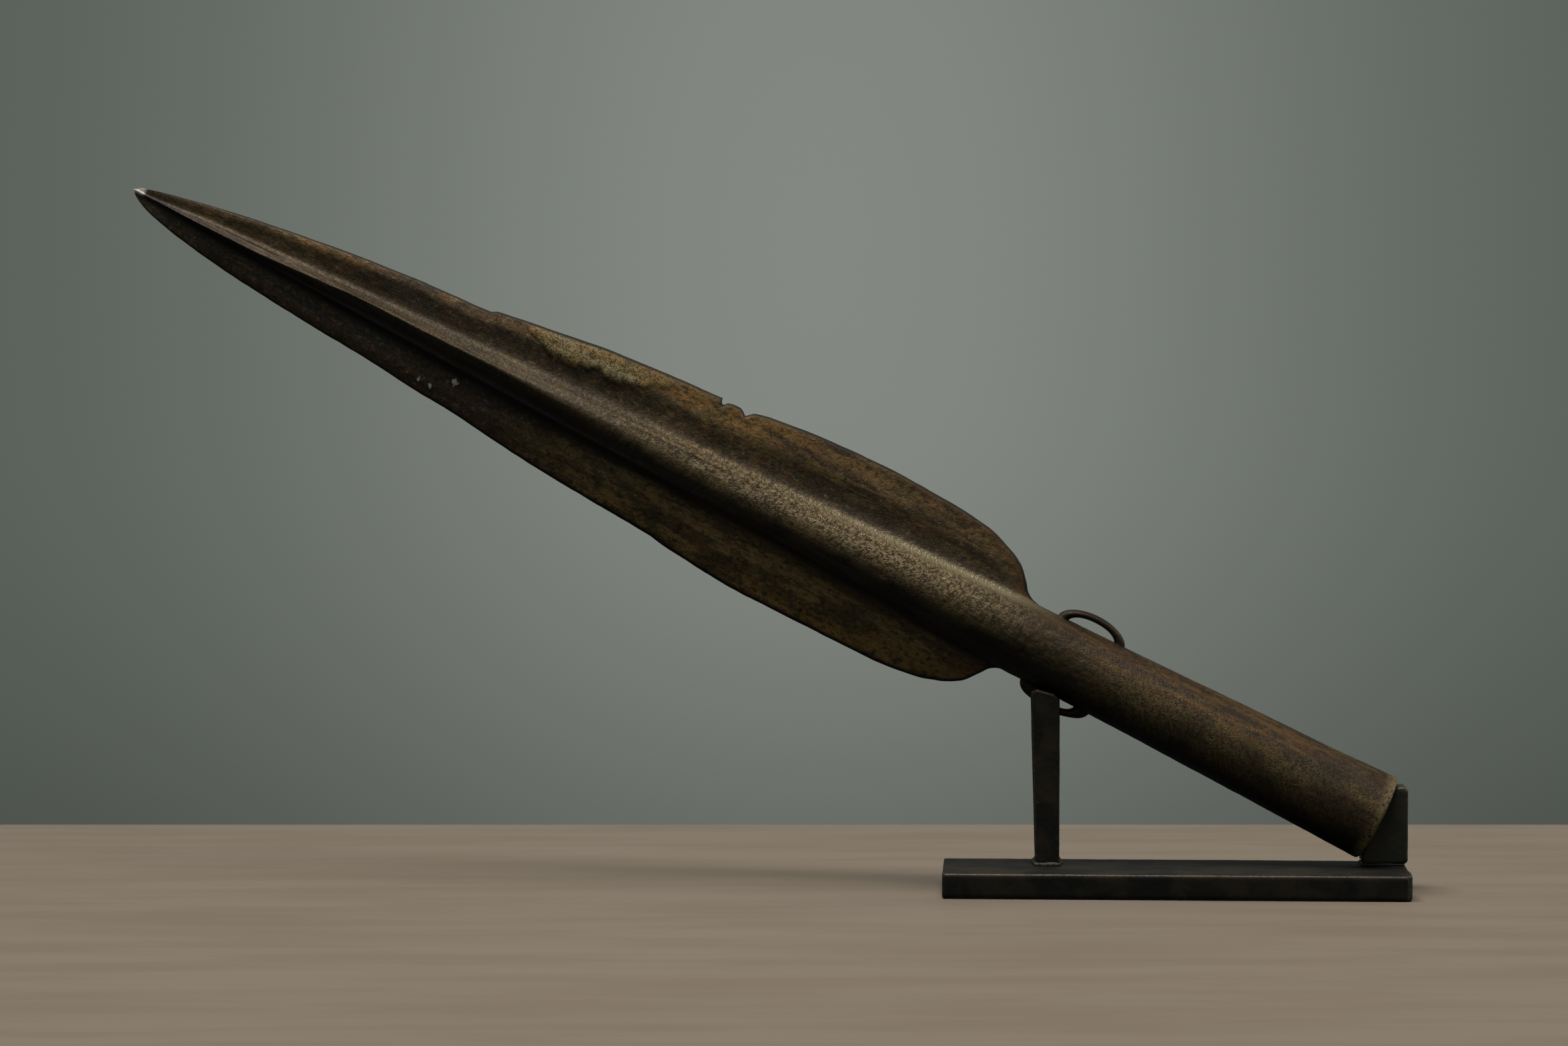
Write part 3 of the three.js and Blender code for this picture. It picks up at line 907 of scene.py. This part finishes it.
    def _stations(self) -> np.ndarray:
        """Places of the rings, closer together at the tip, the chips, the shoulders and the mouth."""
        stretches = [
            (0.0, 12.0, 0.35), (12.0, 86.0, 0.6), (86.0, 92.0, 0.35), (92.0, 146.0, 0.5),
            (146.0, 160.0, 0.24), (160.0, 214.0, 0.62), (214.0, 240.0, 0.32), (240.0, 318.0, 0.62),
            (318.0, self.length - 0.6, 0.5),
        ]
        steps = [np.arange(start, end, step) for start, end, step in stretches]
        return np.concatenate([*steps, [self.length - 0.6]])

    def _across(self, along: np.ndarray) -> np.ndarray:
        """Where the face columns lie across the blade at each ring, from the upper edge to the lower one."""
        column = np.arange(self.half_columns + 1) / self.half_columns
        along = along[:, None]
        radius = self.radius(along)
        upper, lower = (self.width(along, side) for side in Side)
        cut = upper - self.bitten(along) * (upper > radius + 2)
        bend = self.bevel_columns
        start, end = 0.5 - self.rib_columns / 2, 0.5 + self.rib_columns / 2
        blade = radius * np.cos(np.pi * np.clip((column - start) / self.rib_columns, 0, 1))
        bevels = [np.minimum(self._bevel(along, np.float64(side)), 0.6 * (width - radius))
                  for side, width in zip(Side, (cut, lower))]
        for side, width, bevel, out in zip(Side, (cut, lower), bevels, (start - column, column - end)):
            inner = radius + (width - bevel - radius) * np.clip(out / (start - bend), 0, 1)
            outer = inner + bevel * np.clip((out - (start - bend)) / bend, 0, 1)
            blade = np.where(out > 0, side * outer, blade)
        turn = np.cos(np.pi * column)
        bar = np.where(turn > 0, cut, lower) * turn
        blend = rise(upper - radius, 0.0, 4.0)
        return bar + (blade - bar) * blend

    def _body(self) -> bpy.types.Object:
        """The casting without its loops, in spear coordinates (along, face, width)."""
        along = self._stations()
        across = self._across(along)
        half = self.section(along[:, None], across)
        half[:, 0] = half[:, -1] = 0
        nose = 0.14 * rise(across[:, 0] - self.radius(along), 0.0, 2.0)
        across[:, 0] += nose
        across[:, -1] -= nose
        front = np.stack([np.broadcast_to(along[:, None], across.shape), -half, across], -1)
        back = front[:, -2:0:-1] * (1, -1, 1)
        skin = np.concatenate([front, back], 1)
        at_root = bump_at(np.abs(across), self.radius(along)[:, None], 1.6) * (along < self.neck - 4)[:, None]
        at_root = np.concatenate([at_root, at_root[:, -2:0:-1]], 1)[..., None]
        outward = self._normals(skin) * (1 - at_root) + np.sign(skin * (0, 1, 0)) * at_root
        skin = skin + outward * self._relief(skin)[..., None]
        rings = np.concatenate([skin, self._rim_and_bore(skin[-1])])
        ends = np.array([[-0.25, 0, 0.1], [rings[-1, 0, 0] - 1.0, 0, 0]])
        points = np.concatenate([rings.reshape(-1, 3), ends])
        return mesh_object("spearhead_bronze", points, tube_faces(len(rings), 2 * self.half_columns))

    def _normals(self, skin: np.ndarray) -> np.ndarray:
        """Outward directions of the skin's vertices."""
        around = np.roll(skin, -1, 1) - np.roll(skin, 1, 1)
        down = np.gradient(skin, axis=0)
        normal = np.cross(around, down)
        normal /= np.maximum(np.linalg.norm(normal, axis=-1, keepdims=True), 1e-9)
        return normal * np.sign(np.sum(normal * skin * (0, 1, 1)))

    def _relief(self, skin: np.ndarray) -> np.ndarray:
        """Fine shape of the surface: casting waves, pits, file lines, the crust and specks of lime."""
        along, face, across = skin[..., 0], skin[..., 1], skin[..., 2]
        radius = self.radius(along)
        on_wing = rise(np.abs(across) - radius, -0.5, 1.5)
        waves = 0.10 * self.grain.at(skin, (24, 9, 9)) + 0.045 * self.grain.layered(skin, 6.0, 2)
        pits = -0.16 * rise(self.grain.at(skin + 31, 1.25), 0.25, 0.75)
        pits -= 0.14 * rise(self.grain.at(skin + 13, 2.6), 0.45, 0.85)
        pits += 0.07 * self.grain.at(skin + 5, 0.95)
        rib_zone = rise(along, 110, 150) * (1 - rise(along, 235, 262)) * (1 - on_wing)
        at_root = bump_at(np.abs(across) - radius, -0.3, 1.5) * (along < self.neck)
        pitted = (0.4 + 0.6 * rib_zone) * (1 - 0.9 * at_root)
        lines = -self.score_depth * self._scores(skin)
        from_groove = across + self.width(along, Side.LOWER) - self.groove_inset
        groove = -self.groove_depth * bump_at(from_groove, 0.0, 0.5)
        groove *= rise(along, 158, 168) * (1 - rise(along, 216, 224)) * (face < 0)
        relief = waves + pits * pitted + lines + groove
        relief += self._crust(skin) * (self.crust_height + 0.16 * self.grain.at(skin, 0.9))
        from_border = across - through(self.crust_border, along)
        shells = np.sin(2 * np.pi * from_border / self.shell_step) * (1 - rise(from_border, 1.5, 4.0))
        relief += self.shell_height * self._crust(skin) * shells
        for spot_along, spot_across, size in self.lime_spots:
            away = np.hypot(along - spot_along, across - spot_across)
            relief += self.lime_height * size * bump_at(away, 0, size) * (face < 0)
        edge = np.clip(1 - np.abs(face) / 0.8, 0, 1) * on_wing
        tip = rise(along, 0.5, 5)
        return relief * tip * (1 - 0.6 * edge)

    def _scores(self, skin: np.ndarray) -> np.ndarray:
        """Mask of the fine lines drawn along the front of the midrib towards the tip."""
        along, face, across = skin[..., 0], skin[..., 1], skin[..., 2]
        crest = through(self.crest_shift, along)
        from_crest = (across - crest) / np.maximum(self.radius(along) - crest, 0.5)
        lines = sum(bump_at(from_crest, share, 0.09) for share in self.score_shares)
        return lines * (1 - rise(along, 95, 135)) * rise(along, 6, 14) * (face < 0)

    def _crust(self, skin: np.ndarray) -> np.ndarray:
        """Mask of the raised corrosion crust on the front of the upper wing."""
        along, face, across = skin[..., 0], skin[..., 1], skin[..., 2]
        ragged = 0.35 * self.grain.at(skin, 1.6)
        inside = rise(across - through(self.crust_border, along) + ragged, 0.0, 0.4)
        ends = rise(along, 98, 100.5) * (1 - rise(along, 132.5, 138.5))
        rim = 1 - rise(across - self.width(along, Side.UPPER), -0.8, -0.1)
        return inside * ends * rim * (face < 0)

    def _rim_and_bore(self, last: np.ndarray) -> np.ndarray:
        """Rings over the mouth's rounded rim and down the tapering bore."""
        turn = round_turn(2 * self.half_columns)
        outer = self.mouth_radius
        bore = outer - self.wall
        rim = [(-0.25, outer - 0.1), (-0.06, outer - 0.35), (0.0, outer - 0.8), (0.0, bore + 0.55),
               (-0.15, bore + 0.18), (-0.5, bore)]
        depths = self.length - np.linspace(2, self.length - self.hollow_start, self.bore_rings)
        halfway = (self.neck + self.length) / 2
        tapers = ((self.hollow_start, self.hollow_end_radius), (self.neck, self.neck_radius - self.wall),
                  (halfway, float(self.radius(np.array(halfway))) - self.wall), (self.length, bore))
        rings = [(self.length + shift, reach) for shift, reach in rim]
        rings += [(depth, float(through(tapers, np.array(depth)))) for depth in depths]
        made = [np.stack([np.full_like(turn, at), -reach * np.sin(turn), reach * np.cos(turn)], -1)
                for at, reach in rings]
        return np.array(made)

    def _loop(self, loop: SideLoop) -> bpy.types.Object:
        """One side loop in spear coordinates, with its feet sunk in the socket's wall."""
        points, rings = loop.points(self.neck_radius - 0.8)
        return mesh_object("loop", points, tube_faces(rings, loop.sides))

    def _keep_masks(self, mesh: bpy.types.Mesh, strip: np.ndarray) -> None:
        """Keeps each vertex's place on the spearhead, and what the finish needs to know about it."""
        along, face, across = strip.T
        radius = self.radius(along)
        _, inset = self._edge_distance(along, across)
        from_axis = np.hypot(face, across)
        hollow = (along > self.hollow_start) & (from_axis < radius - 0.6 * self.wall)
        keep_value(mesh, "strip", strip)
        keep_value(mesh, "wing", rise(np.abs(across) - radius, -0.3, 1.6) * (along < self.neck))
        inset = np.where(across > 0, np.maximum(inset - self.bitten(along), 0), inset)
        keep_value(mesh, "bevel", 1 - np.clip(inset / self._bevel(along, across), 0, 1))
        keep_value(mesh, "scored", self._scores(strip))
        keep_value(mesh, "crust", self._crust(strip))
        keep_value(mesh, "bore", hollow.astype(float))
        keep_value(mesh, "strap", rise(from_axis - radius, 0.1, 0.8) * (along > self.neck))
        # Mask of the painted highlight along the front of the midrib's upper root.
        on_root = bump_at(across - radius, -0.4, 1.4) * (face < 0)
        keep_value(mesh, "root_highlight", on_root * rise(along, 158, 215) * (1 - rise(along, 222, 250)))
        # Mask of painted shade on the midrib's lower side and the wing just below it, stored as under.
        underside = bump_at(across + 0.78 * radius, 0, 1.8 + 0.55 * radius)
        keep_value(mesh, "under", underside * (1 - rise(along, self.neck - 8, self.neck + 8)))

    def _placed(self, strip: np.ndarray) -> np.ndarray:
        """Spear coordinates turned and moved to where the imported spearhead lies, in metres."""
        low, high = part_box(self.node)
        lean, rake = math.cos(self.tilt), math.sin(self.tilt)
        mouth_x = high.x / MM - self.mouth_radius * rake
        mouth_z = low.z / MM + self.mouth_radius * lean
        middle = (low.y + high.y) / 2 / MM
        along, face, across = strip.T
        back = along - self.length
        x = mouth_x + back * lean + across * rake
        z = mouth_z - back * rake + across * lean
        return np.stack([x, middle + face, z], -1) * MM


# ---- Stand ------------------------------------------------------------------------------------------------


@dataclass
class SteelPiece:
    """One solid steel piece of the stand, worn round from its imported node. Millimetres."""

    node: str
    voxel: float
    rounding: int
    dents: float = 0.05
    seed: int = 3
    chamfer: float = 0.7
    sharp_angle: float = math.radians(50)
    highlight_from: tuple[float, float, float] = (0.62, -0.35, 0.7)
    steel: StandSteel = StandSteel()

    def build(self) -> bpy.types.Object:
        """Copies the node's solid, rounds its edges, gives it a handled surface and its finish."""
        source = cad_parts[self.node]
        shell = bmesh.new()
        shell.from_mesh(source.data)
        bmesh.ops.remove_doubles(shell, verts=shell.verts, dist=0.01 * MM)
        self.shape(shell)
        name = self.node + "_steel"
        piece = linked(name, settled(name, shell))
        remesh = piece.modifiers.new("solid", "REMESH")
        remesh.mode, remesh.voxel_size = "VOXEL", self.voxel * MM
        smooth = piece.modifiers.new("worn", "SMOOTH")
        smooth.factor, smooth.iterations = 0.5, self.rounding
        apply_modifiers(piece)
        self.wear(piece.data)
        piece.data.shade_smooth()
        piece.data.materials.clear()
        piece.data.materials.append(self.steel.material(self.node + "_black"))
        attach(piece, BODY)
        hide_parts(self.node)
        return piece

    def shape(self, shell: bmesh.types.BMesh) -> None:
        """Files a narrow chamfer along the sharp edges before they are rounded."""
        edges = [edge for edge in shell.edges if edge.is_manifold]
        sharp = [edge for edge in edges if edge.calc_face_angle() > self.sharp_angle]
        width = self.chamfer * MM
        bmesh.ops.bevel(shell, geom=sharp, offset=width, segments=1, affect="EDGES", clamp_overlap=True)

    def wear(self, mesh: bpy.types.Mesh) -> None:
        """Keeps a mask of the edges, stronger on edges that face one given direction as a painted highlight,
        and moves the surface a little in and out.
        """
        points, normals = read_points(mesh) / MM, read_normals(mesh)
        grain = Grain(self.seed)
        rounded = rise(1 - np.max(np.abs(normals), axis=1), 0.06, 0.25)
        # Painted highlight: edges turned towards the given light direction get more of the pale edge colour.
        facing_light = rise(normals @ np.array(self.highlight_from), 0.3, 0.9)
        keep_value(mesh, "edge", rounded * (0.3 + 0.7 * facing_light))
        uneven = self.dents * (grain.layered(points, 7.0) + 0.4 * grain.at(points, 1.1))
        write_points(mesh, (points + normals * uneven[:, None]) * MM)


@dataclass
class BaseBar(SteelPiece):
    """The flat bar on the table, with one vertical corner ground off."""

    corner: float = 1.4

    def shape(self, shell: bmesh.types.BMesh) -> None:
        """Grinds the front right corner."""
        low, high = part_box(self.node)
        point = Vector((high.x - self.corner * MM, low.y, low.z))
        cut = bmesh.ops.bisect_plane(
            shell, geom=[*shell.verts, *shell.edges, *shell.faces], dist=1e-7,
            plane_co=point, plane_no=Vector((1, -1, 0)).normalized(), clear_outer=True,
        )
        edges = [item for item in cut["geom_cut"] if isinstance(item, bmesh.types.BMEdge)]
        bmesh.ops.contextual_create(shell, geom=edges)
        super().shape(shell)


@dataclass
class Weld:
    """A thin uneven bead around the foot of an upright piece. Millimetres."""

    name: str
    node: str
    foot_width: float
    radius: float = 0.55
    sides: int = 12
    step: float = 0.3
    flatness: float = 0.9
    lift: float = 0.25
    seed: int = 11
    pale: float = 1.0

    def build(self) -> bpy.types.Object:
        """Runs the bead round the foot."""
        route = self._route()
        outward = route - (route.min(0) + route.max(0)) / 2
        outward /= np.linalg.norm(outward, axis=1, keepdims=True)
        grain = Grain(self.seed)
        turn = round_turn(self.sides)
        flat = np.column_stack([route, np.zeros(len(route))])
        thick = self.radius * (1 + 0.35 * grain.at(flat, 1.4) + 0.25 * grain.at(flat, 3.5))
        spread = thick[:, None] * np.cos(turn)
        height = thick[:, None] * self.flatness * np.sin(turn)
        rings = np.stack([
            route[:, 0, None] + outward[:, 0, None] * spread,
            route[:, 1, None] + outward[:, 1, None] * spread,
            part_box("base_bar")[1].z / MM + self.lift + height,
        ], -1)
        faces = band_faces(len(route), self.sides, joined=True)
        piece = mesh_object(self.name, rings.reshape(-1, 3) * MM, faces)
        piece.data.materials.append(WeldBead().material(self.name + "_metal", self.pale))
        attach(piece, BODY)
        return piece

    def _route(self) -> np.ndarray:
        """Points around the foot of the upright piece, as rows of x and y."""
        low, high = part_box(self.node)
        right, front, back = high.x / MM, low.y / MM, high.y / MM
        left = right - self.foot_width
        right = min(right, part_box("base_bar")[1].x / MM - self.radius)
        corners = [(left, front), (right, front), (right, back), (left, back)]
        route = []
        for here, there in zip(corners, corners[1:] + corners[:1]):
            count = max(int(math.dist(here, there) / self.step), 2)
            route += [np.array(here) + (np.array(there) - here) * k / count for k in range(count)]
        return np.array(route)


@dataclass
class WeldLump:
    """An uneven lump of weld where two pieces of the stand meet. Millimetres."""

    name: str
    at: tuple[float, float, float]
    size: tuple[float, float, float]
    seed: int
    pale: float
    roughness: float = 0.28

    def build(self) -> bpy.types.Object:
        """Makes the lump and gives it its finish."""
        ball = bmesh.new()
        bmesh.ops.create_icosphere(ball, subdivisions=5, radius=1.0)
        mesh = settled(self.name, ball)
        points = read_points(mesh)
        grain = Grain(self.seed)
        points *= 1 + self.roughness * grain.layered(points * 3.0, 2.4)[:, None]
        write_points(mesh, (points * self.size + self.at) * MM)
        mesh.shade_smooth()
        piece = linked(self.name, mesh)
        mesh.materials.append(WeldBead().material(self.name + "_metal", self.pale))
        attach(piece, BODY)
        return piece


# ---- Studio -----------------------------------------------------------------------------------------------


@dataclass
class Studio:
    """Plain pale floor, a soft backdrop, soft lights and the camera. Metres."""

    camera_at: tuple[float, float, float] = (-0.03904, -0.96654, 0.12337)
    camera_down: float = math.radians(2.197)
    camera_left: float = math.radians(3.097)
    lens: float = 95.0
    sensor: float = 36.0
    floor_back: float = 0.144
    floor_front: float = -2.2
    floor_half: float = 2.2
    floor_thick: float = 0.03
    floor_edge: float = 0.0015
    floor_colour: Colour = rgb(168, 153, 138)
    floor_grain: Colour = rgb(146, 128, 106)
    wall_radius: float = 2.4
    wall_low: float = -1.2
    wall_high: float = 1.9
    wall_glow: tuple[float, float, float] = (-0.19, 2.4, 0.22)
    wall_spread: tuple[float, float] = (0.45, 0.85)
    wall_middle: Colour = rgb(131, 136, 130)
    wall_rim: Colour = rgb(84, 90, 84)
    wall_foot: Colour = rgb(4, 4, 4)
    room_colour: tuple[float, float, float, float] = (0.9, 0.96, 1.0, 1.0)
    room_strength: float = 0.03

    def build(self) -> None:
        """Makes the floor, the wall, the lights and the camera."""
        self._floor()
        self._wall()
        self._lights()
        self._camera()
        scene = bpy.context.scene
        scene.view_settings.view_transform = "Standard"
        world = bpy.data.worlds.new("room")
        world.use_nodes = True
        room = world.node_tree.nodes["Background"]
        room.inputs["Color"].default_value = self.room_colour
        room.inputs["Strength"].default_value = self.room_strength
        scene.world = world

    def _floor(self) -> None:
        """A plain table top whose back edge is the horizon."""
        top = bmesh.new()
        bmesh.ops.create_cube(top, size=1.0)
        depth = self.floor_back - self.floor_front
        bmesh.ops.scale(top, vec=(2 * self.floor_half, depth, self.floor_thick), verts=top.verts)
        shift = (0, self.floor_back - depth / 2, -self.floor_thick / 2)
        bmesh.ops.translate(top, vec=shift, verts=top.verts)
        bmesh.ops.bevel(top, geom=top.edges, offset=self.floor_edge, segments=3, affect="EDGES")
        mesh = settled("floor", top)
        floor = linked("floor", mesh)
        graph = Graph("floor_pale")
        place = graph.node("ShaderNodeTexCoord", {}, {}, "Object")
        streaks = graph.noise(graph.stretched(place, (12.0, 60.0, 12.0)), 1.0, 4.0)
        tint = graph.lay(streaks.rise(0.35, 0.65) * 0.35, self.floor_colour, self.floor_grain)
        inputs = {"Base Color": tint, "Roughness": 0.55, "Specular IOR Level": 0.25}
        mesh.materials.append(graph.finish(inputs))
        floor.rotation_euler.z = self.camera_left
        floor.visible_diffuse = floor.visible_glossy = False

    def _wall(self) -> None:
        """A round wall that glows softly behind the object and is dim elsewhere."""
        wall = bmesh.new()
        bmesh.ops.create_cone(wall, cap_ends=False, segments=96, radius1=self.wall_radius,
                              radius2=self.wall_radius, depth=self.wall_high - self.wall_low)
        bmesh.ops.translate(wall, vec=(0, 0, (self.wall_high + self.wall_low) / 2), verts=wall.verts)
        mesh = settled("backdrop", wall)
        mesh.shade_smooth()
        backdrop = linked("backdrop", mesh)
        graph = Graph("backdrop_grey")
        place = graph.node("ShaderNodeTexCoord", {}, {}, "Object")
        side = (graph.part(place, "X") - self.wall_glow[0]) / self.wall_spread[0]
        up = (graph.part(place, "Z") - self.wall_glow[2]) / self.wall_spread[1]
        fall = graph.math("EXPONENT", (side * side + up * up) * -1.0)
        behind = graph.part(place, "Y").rise(0.0, 1.2)
        glow = graph.lay(fall * behind, self.wall_rim, self.wall_middle)
        glow = graph.lay(graph.part(place, "Z").rise(-0.93, 0.1), self.wall_foot, glow)
        mesh.materials.append(graph.finish({
            "Base Color": (0.0, 0.0, 0.0), "Roughness": 1.0, "Specular IOR Level": 0.0,
            "Emission Color": glow, "Emission Strength": 1.0,
        }))

    def _light(self, name: str, at: Sequence[float], aim: Sequence[float], size: Sequence[float],
               watts: float, colour: Colour) -> None:
        """One soft rectangular light.

        Args:
            name: The light's name.
            at: Where it hangs.
            aim: The point it faces.
            size: Its width and height.
            watts: Its power.
            colour: Its colour.
        """
        data = bpy.data.lights.new(name, "AREA")
        data.shape, data.size, data.size_y = "RECTANGLE", *size
        data.energy, data.color = watts, colour
        lamp = linked(name, data)
        lamp.location = at
        lamp.rotation_euler = (Vector(aim) - Vector(at)).to_track_quat("-Z", "Y").to_euler()

    def _lights(self) -> None:
        """A broad overhead light, a little in front, and a weak one behind on the right."""
        middle = (cad_box[0] + cad_box[1]) / 2
        self._light("overhead", (middle.x - 0.1, -0.19, 1.15), middle, (1.0, 0.32), 8.5, (1.0, 0.97, 0.92))
        self._light("front", (0.2, -1.5, 1.2), middle, (1.2, 0.8), 0.7, (1.0, 0.98, 0.95))
        self._light("side", (0.75, 0.35, 0.5), middle, (0.35, 0.5), 1.2, (1.0, 0.95, 0.86))

    def _camera(self) -> None:
        """The camera, level but for a small downward pitch."""
        data = bpy.data.cameras.new("camera")
        data.lens, data.sensor_width = self.lens, self.sensor
        data.clip_start, data.clip_end = 0.01, 50.0
        camera = linked("camera", data)
        camera.location = self.camera_at
        camera.rotation_euler = Euler((math.pi / 2 - self.camera_down, 0.0, self.camera_left))
        bpy.context.scene.camera = camera


def main() -> None:
    """Builds the studio, the spearhead and its stand, and reports each piece."""
    logging.basicConfig(level=logging.INFO, format="%(name)s: %(message)s")
    Studio().build()
    greyer = StandSteel(black=rgb(70, 70, 62), brown=rgb(88, 80, 68))
    # Direction of the painted edge highlight on the post.
    highlight_from_left = (-0.45, -0.5, 0.75)
    parts = [
        Spearhead(),
        BaseBar("base_bar", voxel=0.45, rounding=3, chamfer=0.4),
        SteelPiece("neck_post", voxel=0.28, rounding=3, dents=0.06, seed=5, highlight_from=highlight_from_left),
        SteelPiece("mouth_bracket", voxel=0.26, rounding=3, dents=0.06, seed=9, steel=greyer),
        Weld("post_weld", "neck_post", foot_width=5.7, radius=0.7, pale=0.4),
        Weld("bracket_weld", "mouth_bracket", foot_width=10.6, radius=0.32, seed=13, pale=0.1),
        WeldLump("end_weld", at=(54.0, 6.2, 4.3), size=(0.75, 1.8, 1.7), seed=17, pale=0.55),
        WeldLump("end_spatter", at=(53.9, -6.5, 5.2), size=(0.6, 0.9, 0.8), seed=19, pale=1.0),
    ]
    for part in parts:
        piece = part.build()
        piece.data.calc_loop_triangles()
        LOG.info("%s: %d triangles", piece.name, len(piece.data.loop_triangles))


if __name__ == "__main__":
    main()
